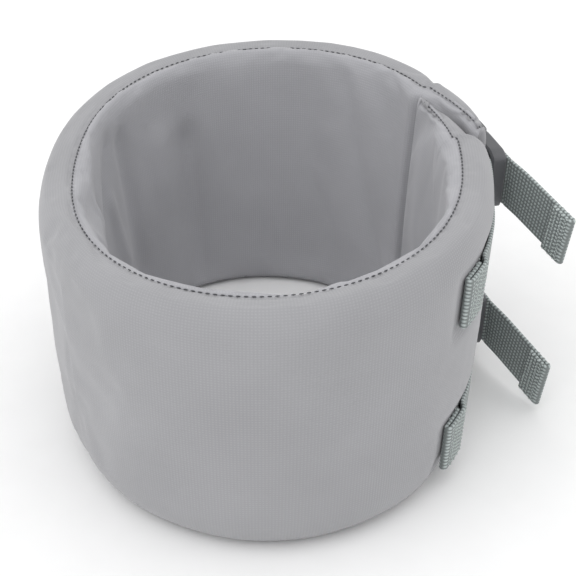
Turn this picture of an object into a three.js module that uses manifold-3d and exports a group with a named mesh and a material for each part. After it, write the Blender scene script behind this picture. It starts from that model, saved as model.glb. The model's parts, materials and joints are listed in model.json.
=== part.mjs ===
// Soft cervical collar: a covered foam band that laps behind the neck and is closed by two webbing
// straps with side-release buckles. Millimetres, +Z up, closure at +Y, chin at -Y, standing on z = 0.
import * as THREE from 'three';
import { mergeVertices } from 'three/addons/utils/BufferGeometryUtils.js';
import Module from 'manifold-3d';

const wasm = await Module();
wasm.setup();

// Band
const WALL_RADIUS = 88; // mean radius of the outer wall at its base
const OVAL = 0.12; // how much the ring is drawn out of round
const SHORT_AXIS = 70; // direction of the ring's short axis, in degrees
const FLARE = 0.07; // growth of the ring from base to rim
const WALL = 17; // thickness of the covered wall
const HEIGHT = 108; // mean height of the rim
const RIM_RISE = 4; // the rim is this much higher at the nape and lower at the chin
const NAPE = 104; // direction of the rim's highest point
const FABRIC = 1.2; // laminated knit
const GAP = 0.3; // between neighbouring layers
const TOP_OUTER = 9; // rounding radii of the wall's section
const TOP_INNER = 7.7;
const BASE_OUTER = 8;
const BASE_INNER = 5;
const SEAM_TOP = 22; // where the seams sit on the two inner roundings, in degrees
const SEAM_BASE = 30;

// Lap: the right end lies outside and thins to its tip, the left end tucks in under it
const OUTER_TIP = 78;
const INNER_TIP = 106;
const TIP = 3; // thickness of either end at its tip
const LAP_GAP = 0.6;
const RUN_OUT = 4; // degrees over which a wall steps in under a tip
const TUCK = 3; // how far the tongue's rim sits lower
const BINDING = 1.6; // length of the bound edge along the wall
const FOAM_MIN = 5; // the foam stops where the wall gets thinner than this

// Webbing
const WEB = 20;
const WEB_THICK = 1.4;
const WEB_OFF = 0.4; // clearance from the wall
const FOLD_GAP = 0.3; // between the two layers of a hem
const STRAP_END = 25; // where the straps are sewn on
const HEM = 9; // degrees of wall under a strap's folded hem
const UPPER_Z = 84;
const LOWER_Z = 20;
const TAIL = 40; // free length past the adjuster
const TAIL_HEM = 10;
const TAIL_ANGLE = 10; // how far a tail stands off its buckle
const TAIL_DROOP = 9;
const ANCHOR = 12; // degrees of wall under a loop's sewn end

// Side-release buckle, in its own frame: x along the strap towards the plug's adjuster,
// y down the wall across the strap, z out from the wall
const BUCKLE_AT = 100; // direction of the buckle's middle
const BUCKLE_OFF = 2; // clearance over the wall at its middle
const BUCKLE = { half: 26, width: 27, thick: 9.6, chamfer: 1.3 };
const SOCKET = { mouth: 4, wall: 1.4, cavityEnd: -17, slot: [-23.4, -20.4], slotHalf: 10.6, anchor: 5 };
const WINDOW = { from: -14.5, to: -2.5 };
const PLUG = { base: 4.6, slots: [[12.4, 16], [19.6, 23.2]], slotHalf: 10.7, thick: 6.4 };
const GUIDE = { end: -14, half: 2.4, thick: 3.2 };
const ARM = { root: 3.8, tip: -15, inner: 6.6, thick: 2.2, depth: 4.6, pad: 12.9 };

const STEP = 6; // degrees between two sections of the band
const deg = THREE.MathUtils.degToRad;
const smooth = (x, a, b) => THREE.MathUtils.smoothstep(x, a, b);

// ---------------------------------------------------------------- wall

const wallRadius = (a) => WALL_RADIUS * (1 - OVAL * Math.cos(deg(2 * (a - SHORT_AXIS))));
const rimHeight = (a) => HEIGHT + RIM_RISE * Math.cos(deg(a - NAPE));

// a point at direction a (degrees), t inwards from the outer wall, at height z
function wallPoint(a, t, z) {
  const r = wallRadius(a) * (1 + (FLARE * z) / HEIGHT) - t;
  return new THREE.Vector3(r * Math.cos(deg(a)), r * Math.sin(deg(a)), z);
}

function wallFrame(a, z) {
  const along = wallPoint(a - 1, 0, z).sub(wallPoint(a + 1, 0, z)).normalize();
  const across = wallPoint(a, 0, z + 1).sub(wallPoint(a, 0, z)).normalize();
  const out = new THREE.Vector3().crossVectors(along, across).negate().normalize();
  return { along, across, out };
}

function arc(t, z, radius, from, to, steps) {
  const points = [];
  for (let i = 0; i <= steps; i++) {
    const a = deg(from + ((to - from) * i) / steps);
    points.push(new THREE.Vector2(t + radius * Math.sin(a), z + radius * Math.cos(a)));
  }
  return points;
}

// the wall's section between depths t0 and t1, drawn in by inset, as its outer and its inner run.
// Angles turn from straight up; negative is towards the outer wall.
function wallRuns(t0, t1, top, inset) {
  const share = (t1 - t0) * 0.49;
  const [ro, ri, bo, bi] = [TOP_OUTER, TOP_INNER, BASE_OUTER, BASE_INNER].map((r) => Math.min(r, share));
  const d = (r) => Math.max(r - inset, 0.05);
  const outer = [
    ...arc(t1 - ri, top - ri, d(ri), SEAM_TOP, 8, 1),
    ...arc(t0 + ro, top - ro, d(ro), 0, -90, 4),
    ...arc(t0 + bo, bo, d(bo), -90, -180, 3),
    ...arc(t1 - bi, bi, d(bi), 180, 180 - SEAM_BASE, 1),
  ];
  const inner = [
    ...arc(t1 - bi, bi, d(bi), 180 - SEAM_BASE - 4, 90, 2),
    ...arc(t1 - ri, top - ri, d(ri), 90, SEAM_TOP + 4, 3),
  ];
  return { outer, inner };
}

const skin = (run, inset) => (t0, t1, top) => [
  ...wallRuns(t0, t1, top, inset)[run],
  ...wallRuns(t0, t1, top, inset + FABRIC)[run].reverse(),
];
const coverSection = skin('outer', 0);
const liningSection = skin('inner', 0);
const foamSection = (t0, t1, top) => {
  const runs = wallRuns(t0, t1, top, FABRIC + GAP);
  return [...runs.outer, ...runs.inner];
};
const bindingSection = (t0, t1, top) => {
  const runs = wallRuns(t0, t1, top, 0);
  return [...runs.outer, ...runs.inner];
};

// the depths between which each half's wall runs at direction a
const leftWall = {
  depths(a) {
    const tucked = smooth(a, OUTER_TIP - RUN_OUT, OUTER_TIP - 1) * (TIP + LAP_GAP);
    const lap = THREE.MathUtils.clamp((a - OUTER_TIP) / (INNER_TIP - OUTER_TIP), 0, 1);
    return [tucked + lap * (WALL - 2 * TIP - LAP_GAP), WALL];
  },
  top: (a) => rimHeight(a) - TUCK * smooth(a, OUTER_TIP - RUN_OUT, INNER_TIP),
};
const rightWall = {
  depths(a) {
    const tucked = (1 - smooth(a, INNER_TIP + 1, INNER_TIP + RUN_OUT)) * (TIP + LAP_GAP);
    const lap = THREE.MathUtils.clamp((INNER_TIP - a) / (INNER_TIP - OUTER_TIP), 0, 1);
    return [0, WALL - tucked - lap * (WALL - 2 * TIP - LAP_GAP)];
  },
  top: rimHeight,
};

// ---------------------------------------------------------------- solids

// one closed body through a row of equal outlines; caps are triangulated in each outline's own plane
function loft(sections, outlines) {
  const count = sections[0].length;
  const positions = sections.flat().flatMap((p) => p.toArray());
  const index = [];
  for (let s = 0; s + 1 < sections.length; s++) {
    for (let i = 0; i < count; i++) {
      const [a, b] = [s * count + i, s * count + ((i + 1) % count)];
      index.push(a, b, b + count, a, b + count, a + count);
    }
  }
  const last = (sections.length - 1) * count;
  const flip = THREE.ShapeUtils.area(outlines[0]) < 0;
  for (const [outline, offset, turn] of [[outlines[0], 0, !flip], [outlines[1], last, flip]]) {
    for (const [a, b, c] of THREE.ShapeUtils.triangulateShape(outline, [])) {
      index.push(...(turn ? [a + offset, c + offset, b + offset] : [a + offset, b + offset, c + offset]));
    }
  }
  const geometry = new THREE.BufferGeometry();
  geometry.setAttribute('position', new THREE.Float32BufferAttribute(positions, 3));
  geometry.setIndex(index);
  return facingOut(geometry);
}

function facingOut(geometry) {
  const p = geometry.attributes.position;
  const index = geometry.index.array;
  const v = [new THREE.Vector3(), new THREE.Vector3(), new THREE.Vector3()];
  let volume = 0;
  for (let i = 0; i < index.length; i += 3) {
    v.forEach((q, k) => q.fromBufferAttribute(p, index[i + k]));
    volume += v[0].dot(v[1].cross(v[2]));
  }
  if (volume < 0) {
    for (let i = 0; i < index.length; i += 3) {
      [index[i], index[i + 1]] = [index[i + 1], index[i]];
    }
  }
  return geometry;
}

function stations(from, to, marks = []) {
  const [low, high] = [Math.min(from, to), Math.max(from, to)];
  const steps = Math.ceil((high - low) / STEP);
  const even = Array.from({ length: steps + 1 }, (_, i) => low + ((high - low) * i) / steps);
  const wanted = marks.filter((m) => m > low && m < high);
  const kept = even.filter((a, i) => i === 0 || i === steps || wanted.every((m) => Math.abs(m - a) > 1.4));
  return [...new Set([...kept, ...wanted])].sort((a, b) => a - b);
}

// sweeps a section of the wall from one direction to another
function sweepWall(wall, section, from, to, marks) {
  const angles = stations(from, to, marks);
  const outline = (a) => section(...wall.depths(a), wall.top(a));
  const sections = angles.map((a) => outline(a).map((q) => wallPoint(a, q.x, q.y)));
  return loft(sections, [outline(angles[0]), outline(angles[angles.length - 1])]);
}

const rectangle = [[-1, -1], [1, -1], [1, 1], [-1, 1]].map(([x, y]) => new THREE.Vector2(x, y));

// webbing through stations of { at, out, across }
function ribbon(line) {
  const sections = line.map(({ at, out, across }) =>
    rectangle.map((q) => at.clone()
      .addScaledVector(across, (q.x * WEB) / 2)
      .addScaledVector(out, (q.y * WEB_THICK) / 2)));
  return loft(sections, [rectangle, rectangle]);
}

const toManifold = (geometry) => {
  const g = geometry.clone();
  for (const name of Object.keys(g.attributes)) {
    if (name !== 'position') g.deleteAttribute(name);
  }
  const merged = mergeVertices(g, 1e-4);
  return new wasm.Manifold(new wasm.Mesh({
    numProp: 3,
    vertProperties: new Float32Array(merged.attributes.position.array),
    triVerts: new Uint32Array(merged.index.array),
  }));
};

const fromManifold = (solid) => {
  const mesh = solid.getMesh();
  const geometry = new THREE.BufferGeometry();
  geometry.setAttribute('position', new THREE.Float32BufferAttribute(mesh.vertProperties, 3));
  geometry.setIndex([...mesh.triVerts]);
  return geometry;
};

// ---------------------------------------------------------------- buckle

const CORNER_STEPS = 3;

// the outline through corners [x, y, radius], counter-clockwise, rounded and drawn in by inset
function rounded(corners, inset) {
  const n = corners.length;
  return corners.flatMap(([x, y, radius], i) => {
    const corner = new THREE.Vector2(x, y);
    const before = corner.clone().sub(new THREE.Vector2(...corners[(i + n - 1) % n])).normalize();
    const after = new THREE.Vector2(...corners[(i + 1) % n]).sub(corner).normalize();
    const inward = [before, after].map((e) => new THREE.Vector2(-e.y, e.x));
    const shift = inward[0].clone().add(inward[1]).multiplyScalar(inset / (1 + inward[0].dot(inward[1])));
    corner.add(shift);
    const start = corner.clone().addScaledVector(before, -radius);
    const end = corner.clone().addScaledVector(after, radius);
    return new THREE.QuadraticBezierCurve(start, corner, end).getPoints(CORNER_STEPS);
  });
}

// an outline raised to a thickness centred on the buckle's mid-plane, with chamfered edges
function slab(corners, thick, chamfer = 0) {
  const turned = THREE.ShapeUtils.area(corners.map((c) => new THREE.Vector2(c[0], c[1]))) < 0;
  const ordered = turned ? [...corners].reverse() : corners;
  const layers = chamfer > 0
    ? [[-thick / 2, chamfer], [-thick / 2 + chamfer, 0], [thick / 2 - chamfer, 0], [thick / 2, chamfer]]
    : [[-thick / 2, 0], [thick / 2, 0]];
  const outlines = layers.map(([, inset]) => rounded(ordered, inset));
  const raised = (outline, z) => outline.map((p) => new THREE.Vector3(p.x, p.y, z));
  const sections = outlines.map((outline, i) => raised(outline, layers[i][0]));
  return loft(sections, [outlines[0], outlines[outlines.length - 1]]);
}

const slotHole = ([x0, x1], half, thick) => slab(
  [[x0, -half, 0.8], [x1, -half, 0.8], [x1, half, 0.8], [x0, half, 0.8]], thick + 2);

const mirrored = (half) => [...half, ...half.map(([x, y, r]) => [x, -y, r]).reverse()];

function plugGeometry() {
  const { half, width } = BUCKLE;
  const frame = mirrored([
    [PLUG.base, width / 2 - 0.8, 1], [PLUG.base + 4, width / 2 - 0.3, 1.5],
    [half - 4, width / 2 - 1, 1.5], [half, width / 2 - 3.2, 1.5]]);
  const guide = mirrored([
    [PLUG.base + 2, GUIDE.half, 0.3], [GUIDE.end + 3, GUIDE.half, 0.8], [GUIDE.end, 1.2, 0.6]]);
  const grip = mirrored([
    [PLUG.base + 0.2, width / 2 - 1.6, 0.8], [PLUG.slots[0][0] - 1.2, width / 2 - 2.4, 0.8]]);
  let body = toManifold(slab(frame, PLUG.thick, 0.7))
    .add(toManifold(slab(guide, GUIDE.thick)))
    .add(toManifold(slab(grip, BUCKLE.thick - 0.4, 1.1)));
  for (const slot of PLUG.slots) body = body.subtract(toManifold(slotHole(slot, PLUG.slotHalf, PLUG.thick)));
  return fromManifold(body);
}

function socketGeometry() {
  const { half, width, thick, chamfer } = BUCKLE;
  const { mouth, wall, cavityEnd, slot, slotHalf, anchor } = SOCKET;
  const shell = mirrored([
    [mouth, width / 2 - 0.4, 1], [WINDOW.to + 1, width / 2, 1], [WINDOW.from - 1, width / 2 - 0.6, 1],
    [cavityEnd - 2, width / 2 - 1.4, 1.2]]);
  const anchorEnd = mirrored([
    [cavityEnd - 1, width / 2 - 1.6, 1], [-half + 2, width / 2 - 1, 0.9], [-half, width / 2 - 2.6, 0.9]]);
  const room = width / 2 - 2.2;
  const cavity = mirrored([
    [mouth + 1, room, 0.2], [cavityEnd + 2, room - 0.6, 1], [cavityEnd, room - 3, 1]]);
  const windows = mirrored([[WINDOW.to, width, 0.2], [WINDOW.from, width, 0.2]]);
  return fromManifold(toManifold(slab(shell, thick, chamfer))
    .add(toManifold(slab(anchorEnd, anchor, 0.6)))
    .subtract(toManifold(slab(cavity, thick - 2 * wall)))
    .subtract(toManifold(slab(windows, thick - 2 * wall - 0.8)))
    .subtract(toManifold(slotHole(slot, slotHalf, anchor))));
}

// a sprung arm on the +y side; side = -1 gives its mirror image
function armGeometry(side) {
  const { root, tip, inner, thick, pad, depth } = ARM;
  const outer = inner + thick;
  const arm = [
    [root, inner, 0.3], [root, outer, 0.3], [WINDOW.to - 0.8, outer + 0.6, 1],
    [WINDOW.to - 2, pad, 0.8], [WINDOW.from + 3.5, pad - 0.2, 1.6],
    [tip, inner + 2, 0.8], [tip, inner, 0.5], [-4, inner + 0.4, 1]];
  return slab(arm.map(([x, y, r]) => [x, y * side, r]), depth, 0.4);
}

// ---------------------------------------------------------------- assembly

// a frame over the wall at the buckle's middle: x along the strap, y down the wall, z out
function buckleFrame(z) {
  const { along, across, out } = wallFrame(BUCKLE_AT, z);
  const rise = BUCKLE_OFF + BUCKLE.thick / 2;
  const turn = new THREE.Matrix4().makeBasis(along, across.negate(), out);
  return turn.setPosition(wallPoint(BUCKLE_AT, 0, z).addScaledVector(out, rise));
}

// the opening hinge stands on the chin side, square to the middle of the buckles' engagement
function hingePoint() {
  const frame = buckleFrame((UPPER_Z + LOWER_Z) / 2);
  const along = new THREE.Vector3().setFromMatrixColumn(frame, 0);
  const engaged = new THREE.Vector3((SOCKET.mouth + SOCKET.cavityEnd) / 2, 0, 0).applyMatrix4(frame);
  const at = (a) => wallPoint(a, -0.6, rimHeight(a)).setZ(0);
  const miss = (a) => at(a).sub(engaged).dot(along);
  let [low, high] = [220, 290];
  for (let i = 0; i < 40; i++) {
    const middle = (low + high) / 2;
    if (miss(middle) < 0) low = middle;
    else high = middle;
  }
  return { angle: low, at: at(low) };
}

const hinge = hingePoint();
const knitLook = { color: 0xa7a7aa, roughness: 0.9, metalness: 0 };
const liningLook = { color: 0x8c8d92, roughness: 0.92, metalness: 0 };
const foamLook = { color: 0xd8d4c4, roughness: 1, metalness: 0 };
const webLook = { color: 0x8f9695, roughness: 0.85, metalness: 0 };
const acetalLook = { color: 0x58595b, roughness: 0.45, metalness: 0 };

function piece(name, geometry, look) {
  const mesh = new THREE.Mesh(geometry, new THREE.MeshStandardMaterial(look));
  mesh.name = name;
  return mesh;
}

// a group standing at a joint, its z along the joint's axis; its pieces keep their places
function jointGroup(name, at, axis, parent, pieces) {
  const group = new THREE.Group();
  group.name = name;
  group.position.copy(at);
  group.quaternion.setFromUnitVectors(new THREE.Vector3(0, 0, 1), axis);
  parent.attach(group);
  group.updateWorldMatrix(true, false);
  for (const p of pieces) group.attach(p);
  return group;
}

const splitGap = (GAP / 2 / wallRadius(hinge.angle)) * (180 / Math.PI);
const lapMarks = [OUTER_TIP - RUN_OUT, OUTER_TIP - 1, OUTER_TIP, INNER_TIP, INNER_TIP + 1,
  INNER_TIP + RUN_OUT];

function halfBand(side) {
  const wall = side === 'left' ? leftWall : rightWall;
  const bindingTurn = (BINDING / WALL_RADIUS) * (180 / Math.PI);
  const gapTurn = (GAP / WALL_RADIUS) * (180 / Math.PI);
  const chin = side === 'left' ? hinge.angle - 360 + splitGap : hinge.angle - splitGap;
  const tip = side === 'left' ? INNER_TIP : OUTER_TIP;
  const inwards = side === 'left' ? -1 : 1;
  const end = tip + inwards * (bindingTurn + gapTurn);
  let foamEnd = tip;
  while (wall.depths(foamEnd)[1] - wall.depths(foamEnd)[0] < FOAM_MIN) foamEnd += inwards;
  const sweep = (section, to) => sweepWall(wall, section, chin, to, lapMarks);
  const inner = chin - inwards * 0.2;
  return [
    piece(`foam_core_${side}`, sweepWall(wall, foamSection, inner, foamEnd, lapMarks), foamLook),
    piece(`outer_cover_${side}`, sweep(coverSection, end), knitLook),
    piece(`inner_lining_${side}`, sweep(liningSection, end), liningLook),
    piece(`end_binding_${side}`,
      sweepWall(wall, bindingSection, tip, tip + inwards * bindingTurn, []), knitLook),
  ];
}

// stations of webbing lying on the wall, layer 0 against it and layer 1 over that
function onWall(a, z, layer = 0) {
  const { across, out } = wallFrame(a, z);
  const lift = WEB_OFF + WEB_THICK / 2 + layer * (WEB_THICK + FOLD_GAP);
  return { at: wallPoint(a, 0, z).addScaledVector(out, lift), out, across };
}

// a station in a buckle's frame at (x, z), the webbing's face turned to the given angle
function inBuckle(frame, x, z, turn) {
  const out = new THREE.Vector3(-Math.sin(deg(turn)), 0, Math.cos(deg(turn))).transformDirection(frame);
  const across = new THREE.Vector3(0, -1, 0).transformDirection(frame);
  return { at: new THREE.Vector3(x, 0, z).applyMatrix4(frame), out, across };
}

const FOLD = (WEB_THICK + FOLD_GAP) / 2;

// half a turn that folds webbing back on itself, from one station to the other
function fold(lower, upper, towards) {
  const middle = lower.at.clone().add(upper.at).multiplyScalar(0.5);
  const lift = upper.at.clone().sub(lower.at).normalize();
  return [45, 90, 135].map((turn) => {
    const out = towards.clone().multiplyScalar(Math.sin(deg(turn)))
      .addScaledVector(lift, -Math.cos(deg(turn)));
    return { at: middle.clone().addScaledVector(out, FOLD), out, across: lower.across };
  });
}

const flipped = ({ at, out, across }) => ({ at, out: out.clone().negate(), across });

// the direction where webbing from a point of the buckle comes down on the wall; turn is -1 towards
// the strap's sewn end and 1 towards the anchor
function touchDown(frame, x, z, height, turn) {
  const from = inBuckle(frame, x, z, 0).at;
  let a = BUCKLE_AT + turn * 12;
  while (from.clone().sub(onWall(a, height).at).dot(onWall(a, height).out) > 0) a += turn * 0.5;
  return a;
}

function range(from, to, steps) {
  return Array.from({ length: steps + 1 }, (_, i) => from + ((to - from) * i) / steps);
}

const BAR_Z = PLUG.thick / 2 + 0.3 + WEB_THICK / 2; // webbing's middle under and over the adjuster's bars
const SLOT_X = (PLUG.slots[0][0] + PLUG.slots[0][1]) / 2;
const TAIL_PIVOT = BUCKLE.half + 0.4;

// from the folded hem, round the wall, under the adjuster's bars, up through the first slot and
// back over them
function strapGeometry(z) {
  const frame = buckleFrame(z);
  const start = STRAP_END + 0.8;
  const landing = touchDown(frame, BUCKLE.half, -BAR_Z, z, -1);
  const towards = wallFrame(start, z).along;
  const wall = range(STRAP_END + HEM + 3, landing, 5).map((a) => onWall(a, z));
  return ribbon([
    ...range(STRAP_END + HEM - 1, start, 2).map((a) => flipped(onWall(a, z))),
    ...fold(onWall(start, z), onWall(start, z, 1), towards),
    ...range(start, STRAP_END + HEM, 2).map((a) => onWall(a, z, 1)),
    ...wall,
    inBuckle(frame, BUCKLE.half - 1, -BAR_Z, 0),
    inBuckle(frame, SLOT_X + 1.9, -BAR_Z, 0),
    inBuckle(frame, SLOT_X + 0.7, -BAR_Z + 0.8, -45),
    inBuckle(frame, SLOT_X, -BAR_Z + 2.7, -90),
    inBuckle(frame, SLOT_X, BAR_Z - 2.7, -90),
    inBuckle(frame, SLOT_X + 0.7, BAR_Z - 0.8, -135),
    inBuckle(frame, SLOT_X + 1.9, BAR_Z, -180),
    inBuckle(frame, TAIL_PIVOT - 1, BAR_Z, -180),
  ]);
}

// the free end: it curls off the strap, droops a little and ends in a hem folded under it
function tailGeometry(z) {
  const frame = buckleFrame(z);
  const at = new THREE.Vector3(TAIL_PIVOT, 0, BAR_Z);
  const line = [];
  let reached = 0;
  for (const s of [0.3, 3, 6, 9, 12, 16, 22, TAIL - TAIL_HEM - 1, TAIL - TAIL_HEM, TAIL]) {
    const lift = deg(TAIL_ANGLE * smooth(s, -3, 9));
    const droop = deg(TAIL_DROOP * smooth(s, 0, 16));
    const level = new THREE.Vector3(Math.cos(lift), 0, Math.sin(lift));
    const out = new THREE.Vector3(-Math.sin(lift), 0, Math.cos(lift));
    const down = new THREE.Vector3(0, 1, 0);
    const along = level.clone().multiplyScalar(Math.cos(droop)).addScaledVector(down, Math.sin(droop));
    const across = level.multiplyScalar(Math.sin(droop)).addScaledVector(down, -Math.cos(droop));
    at.addScaledVector(along, s - reached);
    reached = s;
    line.push({ at: at.clone(), out, across, along });
  }
  const under = ({ at: p, out, across }) => ({ at: p.clone().addScaledVector(out, -2 * FOLD), out, across });
  const [hemStart, end] = line.slice(-2);
  const local = [...line, ...fold(end, under(end), end.along), flipped(under(end)), flipped(under(hemStart))];
  return ribbon(local.map(({ at: p, out, across }) => ({
    at: p.clone().applyMatrix4(frame),
    out: out.clone().transformDirection(frame),
    across: across.clone().transformDirection(frame),
  })));
}

// a loop of webbing sewn to the wall that holds the socket by its bar
function anchorGeometry(z) {
  const frame = buckleFrame(z);
  const [slotFrom, slotTo] = SOCKET.slot;
  const [x, bar] = [(slotFrom + slotTo) / 2, SOCKET.anchor / 2 + 0.3 + WEB_THICK / 2];
  const landing = touchDown(frame, -BUCKLE.half, -bar, z, 1);
  return ribbon([
    ...range(landing + ANCHOR, landing, 3).map((a) => onWall(a, z)),
    inBuckle(frame, -BUCKLE.half, -bar, 0),
    inBuckle(frame, x - 1.6, -bar, 0),
    inBuckle(frame, x - 0.6, -bar + 0.8, 45),
    inBuckle(frame, x, -bar + 2.4, 90),
    inBuckle(frame, x, bar - 2.4, 90),
    inBuckle(frame, x - 0.6, bar - 0.8, 135),
    inBuckle(frame, x - 1.6, bar, 180),
    inBuckle(frame, -BUCKLE.half, bar, 180),
    ...range(landing + 1, landing + ANCHOR, 3).map((a) => flipped(onWall(a, z, 1))),
  ]);
}

// one strap with its buckle: what it adds to the right half and to the left half
function closure(name, z, right, left) {
  const frame = buckleFrame(z);
  const placed = (label, geometry) => piece(`${name}_${label}`, geometry.applyMatrix4(frame), acetalLook);
  const out = new THREE.Vector3(0, 0, 1).transformDirection(frame);
  const up = new THREE.Vector3(0, -1, 0).transformDirection(frame);
  right.add(placed('buckle_socket', socketGeometry()));
  right.add(piece(`${name}_anchor_loop`, anchorGeometry(z), webLook));
  left.attach(placed('buckle_plug', plugGeometry()));
  left.attach(piece(`${name}_strap`, strapGeometry(z), webLook));
  const tail = piece(`${name}_strap_tail`, tailGeometry(z), webLook);
  jointGroup(`${name}_tail_lift`, inBuckle(frame, TAIL_PIVOT, BAR_Z, 0).at, up, left, [tail]);
  for (const [label, side] of [['top', -1], ['bottom', 1]]) {
    const pivot = new THREE.Vector3(ARM.root, side * (ARM.inner + ARM.thick / 2), 0).applyMatrix4(frame);
    const arm = placed(`buckle_arm_${label}`, armGeometry(side));
    jointGroup(`${name}_squeeze_${label}`, pivot, out.clone().multiplyScalar(side), left, [arm]);
  }
}

const collar = new THREE.Group();
const right = new THREE.Group();
right.add(...halfBand('right'));
collar.add(right);
const left = jointGroup('collar_opening', hinge.at, new THREE.Vector3(0, 0, -1), collar, halfBand('left'));
closure('upper', UPPER_Z, right, left);
closure('lower', LOWER_Z, right, left);

// the origin lies under the middle of the whole object
const box = new THREE.Box3().setFromObject(collar);
const middle = box.getCenter(new THREE.Vector3());
collar.position.set(-middle.x, -middle.y, -box.min.z);
const collarPart = new THREE.Group();
collarPart.add(collar);

export default collarPart;
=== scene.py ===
"""Soft cervical collar: padded knit cover, lining, webbing straps and side-release buckles."""
import json
import math

import bmesh
import bpy
from mathutils import Matrix, Vector, noise


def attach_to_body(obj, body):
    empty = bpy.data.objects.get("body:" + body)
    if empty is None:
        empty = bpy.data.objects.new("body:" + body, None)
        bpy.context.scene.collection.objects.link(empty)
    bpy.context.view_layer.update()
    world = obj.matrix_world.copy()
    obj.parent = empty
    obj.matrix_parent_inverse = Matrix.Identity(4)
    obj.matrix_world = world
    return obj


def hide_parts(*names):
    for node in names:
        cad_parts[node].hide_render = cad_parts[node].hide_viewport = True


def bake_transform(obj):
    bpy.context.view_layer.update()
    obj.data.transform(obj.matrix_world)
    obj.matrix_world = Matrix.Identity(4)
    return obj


bl_info = {
    "name": "Soft cervical collar",
    "version": (1, 0, 0),
    "blender": (4, 5, 0),
    "location": "3D View > Sidebar > Collar",
    "description": "Builds a padded neck collar with its straps and buckles",
    "category": "Add Mesh",
}

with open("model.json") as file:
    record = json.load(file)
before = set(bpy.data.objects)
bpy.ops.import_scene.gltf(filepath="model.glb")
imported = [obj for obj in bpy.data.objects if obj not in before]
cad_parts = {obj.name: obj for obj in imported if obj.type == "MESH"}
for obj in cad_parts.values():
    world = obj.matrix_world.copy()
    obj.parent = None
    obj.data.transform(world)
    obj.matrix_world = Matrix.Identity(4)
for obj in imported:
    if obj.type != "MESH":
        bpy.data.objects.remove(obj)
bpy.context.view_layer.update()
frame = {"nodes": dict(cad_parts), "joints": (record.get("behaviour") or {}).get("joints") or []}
MM = 0.001

# Band, in millimetres and degrees, round the middle of the ring
WALL_RADIUS = 88
OVAL = 0.12
SHORT_AXIS = 70
FLARE = 0.07
WALL = 17
HEIGHT = 108
RIM_RISE = 4
NAPE = 104
FABRIC = 1.2
# the section's roundings, as depth and height
TOP_OUTER = (9.2, 13)
TOP_INNER = (7.6, 8)
BASE_OUTER = (12.4, 20)
BASE_INNER = (4.4, 6)
# where the seams lie round the inner roundings, in degrees from upright, and how wide their
# grooves are; the base seam is shallower
SEAM_TOP = 22
SEAM_BASE = 30
GROOVE_WIDTH = 1.8
BASE_GROOVE = 0.8
BASE_GROOVE_WIDTH = 2.0
FOAM_INSET = FABRIC + 4.2
FOAM_SHORT = 10

# Lap behind the neck
OUTER_TIP = 78
INNER_TIP = 106
TIP = 3
LAP_GAP = 0.6
RUN_OUT = 4

# Webbing
WEB = 20
WEB_THICK = 1.4
WEB_OFF = 0.4
FOLD_GAP = 0.3
FOLD = (WEB_THICK + FOLD_GAP) / 2
STRAP_END = 25
HEM = 9
TAIL_HEM = 10
ANCHOR = 12
STRAPS = {"upper": 84, "lower": 20}
TAIL = 40
TAIL_ANGLE = 10
TAIL_DROOP = 9

# Stitches, as length and radius; the rim's rise a little from their groove, and the hems' stand
# in rows across the webbing
RIM_STITCH = (1.8, 0.28)
STITCH_RISE = 0.35
HEM_STITCH = (1.1, 0.3)
HEM_ROW = 1.7
HEM_MARGIN = 0.9
HEM_COLUMNS = 11

# Buckle
BUCKLE_AT = 100
BUCKLE_OFF = 2
BUCKLE_HALF = 26
BUCKLE_THICK = 9.6
ENGAGED_X = -6.5
PLUG_THICK = 6.4
SLOT_X = 14.2
ANCHOR_SLOT_X = -21.9
ANCHOR_THICK = 5
BAR_Z = PLUG_THICK / 2 + 0.3 + WEB_THICK / 2
TAIL_PIVOT = BUCKLE_HALF + 0.4
EDGE = 0.35
EDGE_ANGLE = 28

# The band is one piece of cloth over the chin, where it bends between its two halves
CHIN = (215, 290)

# Stage: lamps as name, place and size in metres, and power in watts; the camera looks at the
# middle of the ring from this side and height, in degrees, and this far off
FLOOR = 3
SKY = 0.95
LAMPS = (("key", (0.5, -1.0, 1.3), 1.2, 5), ("top", (0.2, 0.1, 1.6), 1.6, 5))
CAMERA_SIDE = 70
CAMERA_RISE = 31.9
CAMERA_OFF = 572.6
LENS = 92.4
SHIFT = (0.038, -0.021)


def sin(a):
    return math.sin(math.radians(a))


def cos(a):
    return math.cos(math.radians(a))


def smooth(x, low, high):
    t = min(max((x - low) / (high - low), 0), 1)
    return t * t * (3 - 2 * t)


def spread(start, end, steps):
    return [start + (end - start) * i / steps for i in range(steps + 1)]


def linear(code):
    """sRGB hex to the linear colour that a shader takes."""
    values = [int(code[i:i + 2], 16) / 255 for i in (0, 2, 4)]
    return [v / 12.92 if v <= 0.04045 else ((v + 0.055) / 1.055) ** 2.4 for v in values] + [1.0]


# ---------------------------------------------------------------- settings


def length_setting(name, description, default, low, high):
    """A length that a user may change, in millimetres."""
    return bpy.props.FloatProperty(name=name, description=f"{description}, in millimetres",
                                   default=default, min=low, max=high)


def colour_setting(name, description, code):
    """A colour that a user may change; its default is given as sRGB hex."""
    return bpy.props.FloatVectorProperty(name=name, description=description, default=linear(code),
                                         min=0, max=1, size=4, subtype="COLOR")


class Sizes(bpy.types.PropertyGroup):
    groove: length_setting("Seam groove", "How deep the sewn seam sits in the padding", 1.2, 0, 4)
    stitch_pitch: length_setting("Stitch pitch", "Distance between two stitches", 2.6, 1.5, 8)
    swell: length_setting("Swell", "Farthest that settling cloth may move", 1.2, 0, 5)
    puff: length_setting("Puff", "How far the padding swells between its edges", 0.9, 0, 3)


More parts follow.
